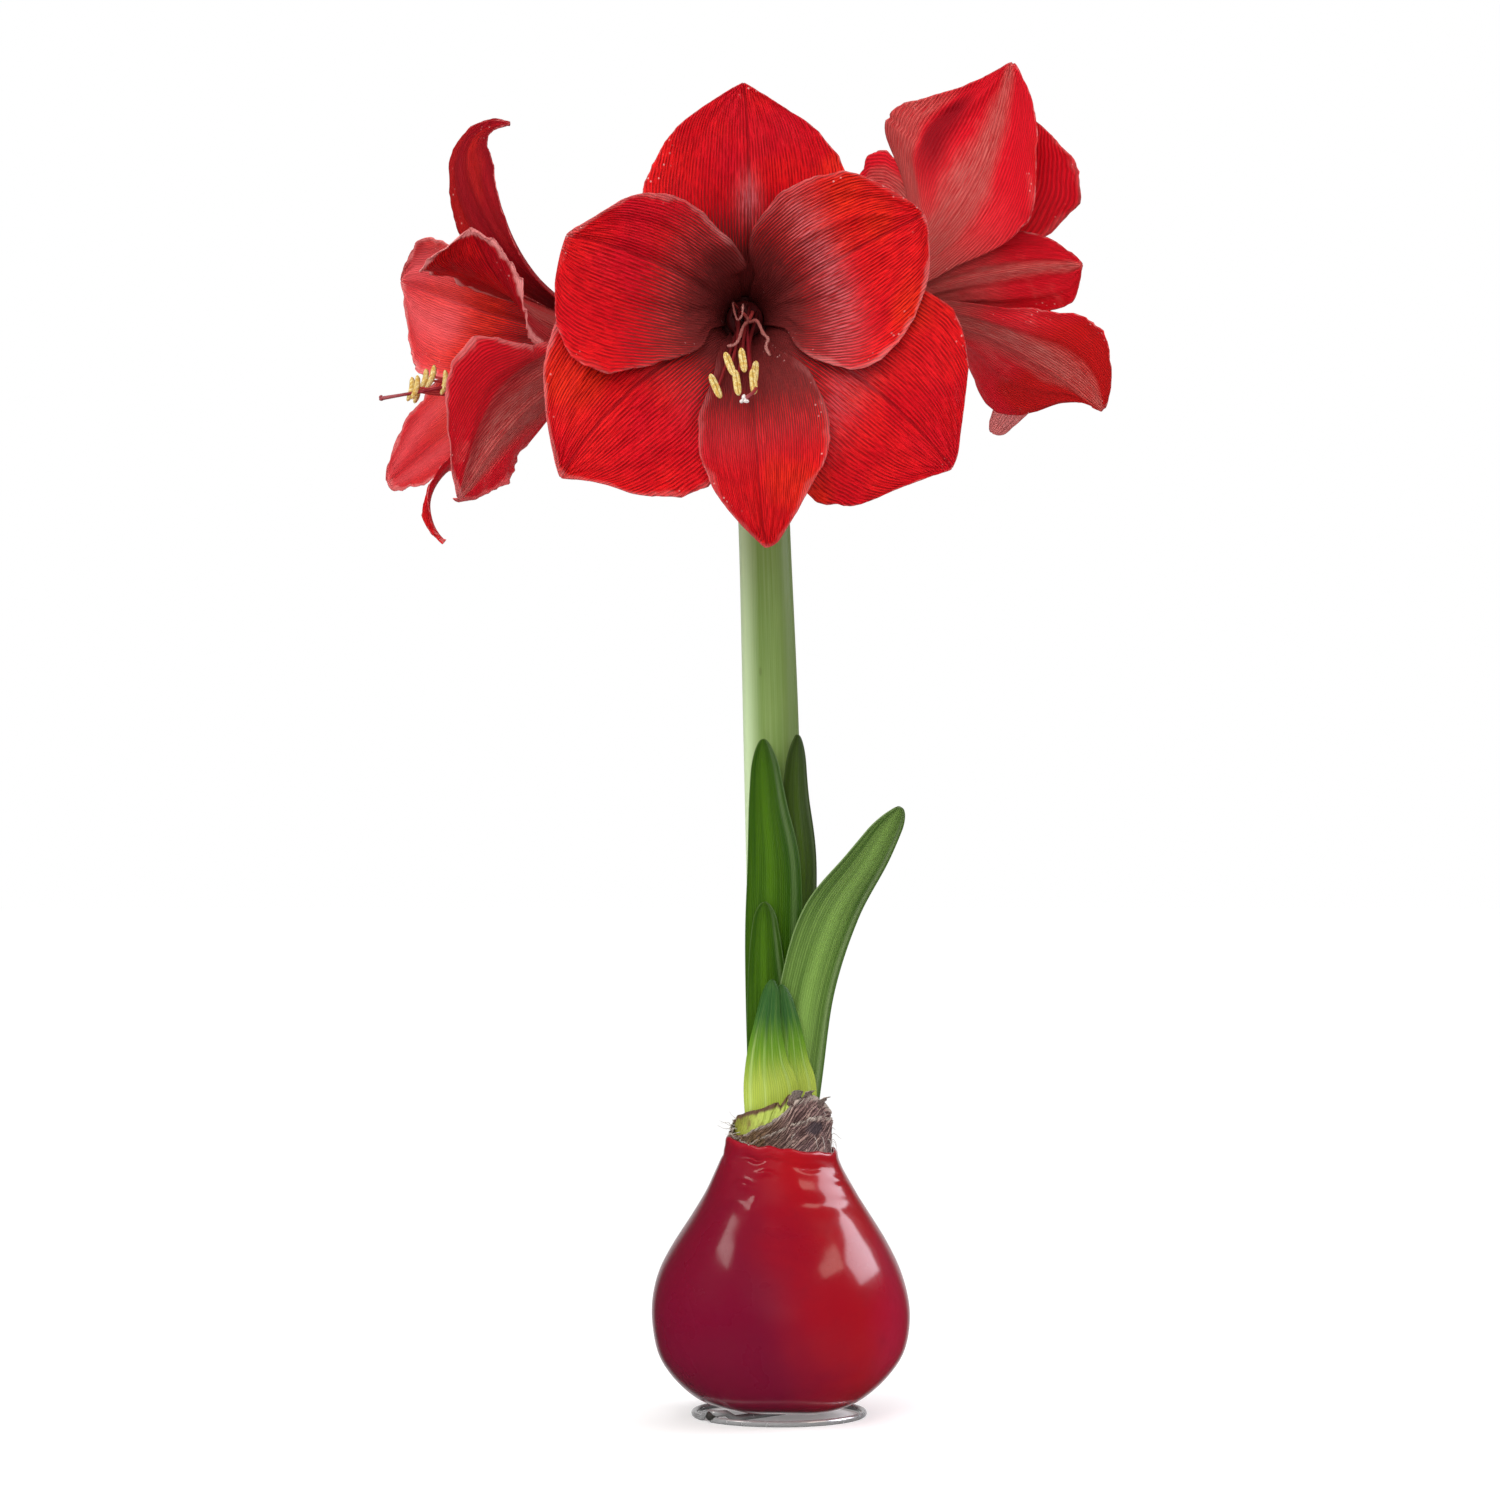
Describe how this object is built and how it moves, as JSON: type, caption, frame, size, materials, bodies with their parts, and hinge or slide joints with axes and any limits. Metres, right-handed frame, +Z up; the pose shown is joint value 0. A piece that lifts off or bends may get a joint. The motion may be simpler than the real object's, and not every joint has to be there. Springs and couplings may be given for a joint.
{
  "type": "waxed amaryllis bulb",
  "caption": "Amaryllis bulb dipped in glossy red wax on a bent-wire ring stand, with strap leaves and one tall stem of open red blooms.",
  "frame": {"origin": "middle of the wire ring, on the surface that it stands on, where the wire's underside crosses it", "axes": "+Z up along the stem, -Y the way the front bloom faces, +X to the right of that view"},
  "size_m": [0.2771, 0.2781, 0.5074],
  "materials": {
    "chrome_wire": "polished wire",
    "red_wax": "glossy deep red dip",
    "bulb_tunic": "papery brown skin",
    "sheath_green": "fleshy olive scale",
    "scape_green": "smooth green with a pale bloom",
    "leaf_green": "satin green blade",
    "young_leaf_green": "satin yellow-green blade",
    "tepal_red": "velvety red",
    "filament_red": "pink-red filaments, cream anthers",
    "style_red": "smooth dark red",
    "dry_paper": "dry papery bract"
  },
  "bodies": {
    "root": {"wire_stand": "chrome_wire", "wax_coat": "red_wax", "bulb": "bulb_tunic", "neck_sheath": "sheath_green", "scape": "scape_green", "leaf_tall_right": "leaf_green", "leaf_tall_left": "leaf_green", "leaf_short": "leaf_green", "leaf_arching": "leaf_green", "leaf_young_right": "young_leaf_green", "leaf_young_left": "young_leaf_green", "spathe_valve_left": "dry_paper", "spathe_valve_right": "dry_paper", "front_pedicel": "scape_green", "front_tepal_top": "tepal_red", "front_tepal_upper_right": "tepal_red", "front_tepal_lower_right": "tepal_red", "front_tepal_bottom": "tepal_red", "front_tepal_lower_left": "tepal_red", "front_tepal_upper_left": "tepal_red", "front_stamens": "filament_red", "front_style": "style_red", "left_pedicel": "scape_green", "left_tepal_top": "tepal_red", "left_tepal_upper_right": "tepal_red", "left_tepal_lower_right": "tepal_red", "left_tepal_bottom": "tepal_red", "left_tepal_lower_left": "tepal_red", "left_tepal_upper_left": "tepal_red", "left_stamens": "filament_red", "left_style": "style_red", "right_pedicel": "scape_green", "right_tepal_top": "tepal_red", "right_tepal_upper_right": "tepal_red", "right_tepal_lower_right": "tepal_red", "right_tepal_bottom": "tepal_red", "right_tepal_lower_left": "tepal_red", "right_tepal_upper_left": "tepal_red", "right_stamens": "filament_red", "right_style": "style_red"}
  },
  "joints": []
}
